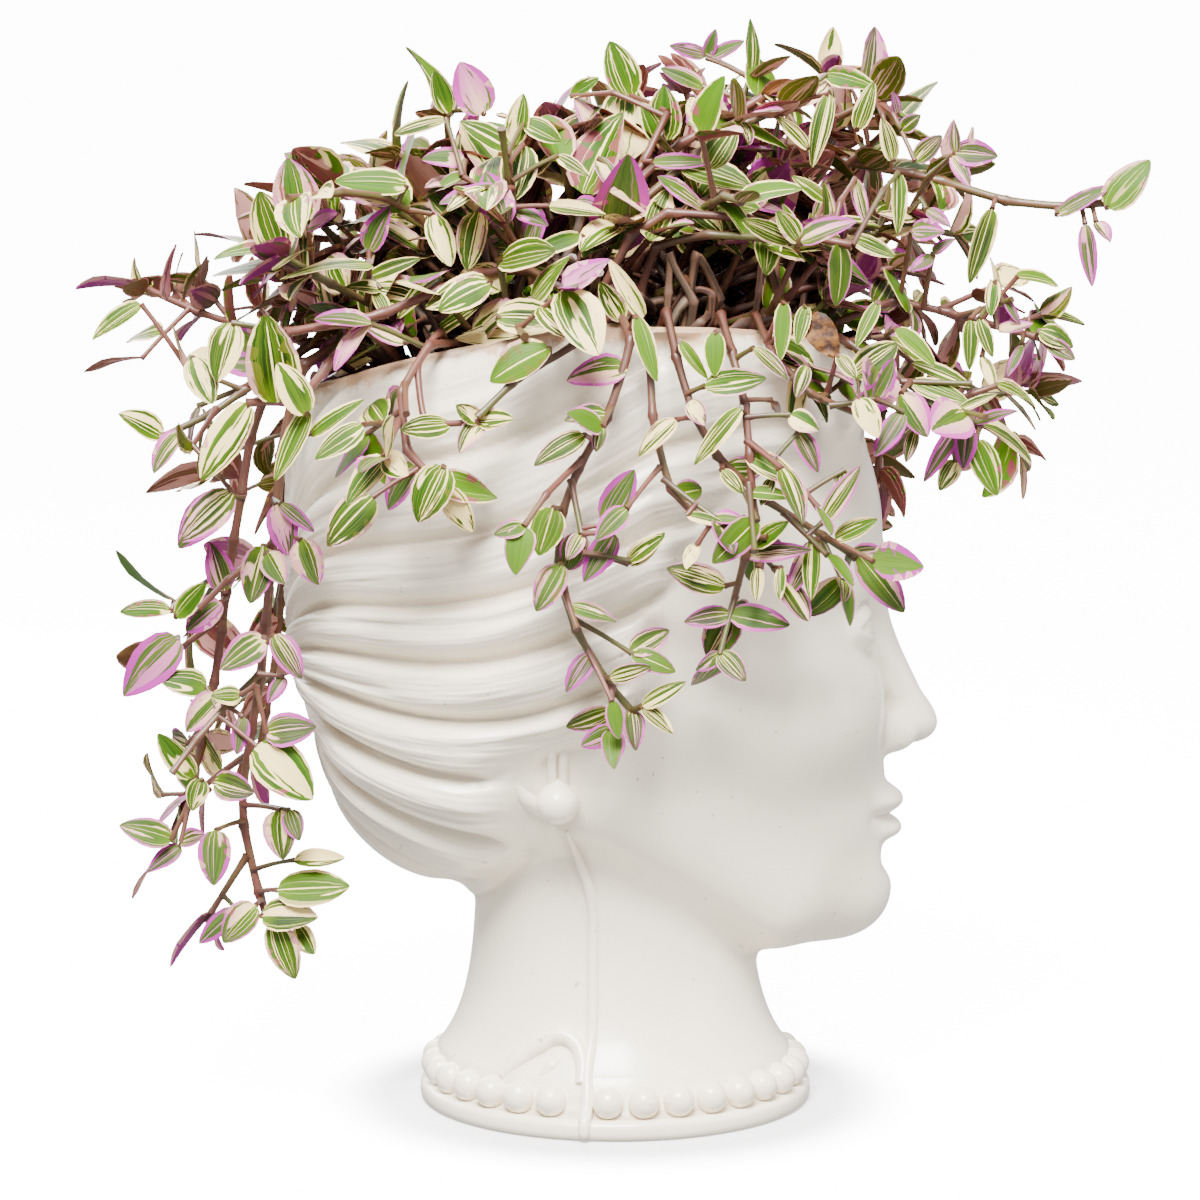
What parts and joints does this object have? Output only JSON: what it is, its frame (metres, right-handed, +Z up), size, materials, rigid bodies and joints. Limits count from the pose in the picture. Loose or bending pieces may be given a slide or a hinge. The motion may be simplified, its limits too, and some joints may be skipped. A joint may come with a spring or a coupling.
{
  "type": "potted plant in a head planter",
  "caption": "Trailing variegated tradescantia growing in soil in a white cast head planter with rolled hair, ear-drops and a beaded round foot.",
  "frame": {"origin": "centre of the foot's flat underside", "axes": "+Z up, the head looks along +X, and the head is symmetric about the plane y = 0"},
  "size_m": [0.5138, 0.3357, 0.505],
  "materials": {
    "pot": "satin white glaze, dirt in the grooves",
    "soil": "damp potting soil",
    "foliage": "green leaves with cream stripes and pink-lilac margins, brown-mauve jointed stems"
  },
  "bodies": {
    "root": {"pot": "pot", "soil": "soil", "crown": "foliage", "stem_01": "foliage", "stem_02": "foliage", "stem_03": "foliage", "stem_04": "foliage", "stem_05": "foliage", "stem_06": "foliage", "stem_07": "foliage", "stem_08": "foliage", "stem_09": "foliage", "stem_10": "foliage", "stem_11": "foliage", "stem_12": "foliage", "stem_13": "foliage", "stem_14": "foliage", "stem_15": "foliage", "stem_16": "foliage", "stem_17": "foliage", "stem_18": "foliage", "stem_19": "foliage", "stem_20": "foliage", "stem_21": "foliage", "stem_22": "foliage", "stem_23": "foliage", "stem_24": "foliage", "stem_25": "foliage", "stem_26": "foliage"}
  },
  "joints": []
}
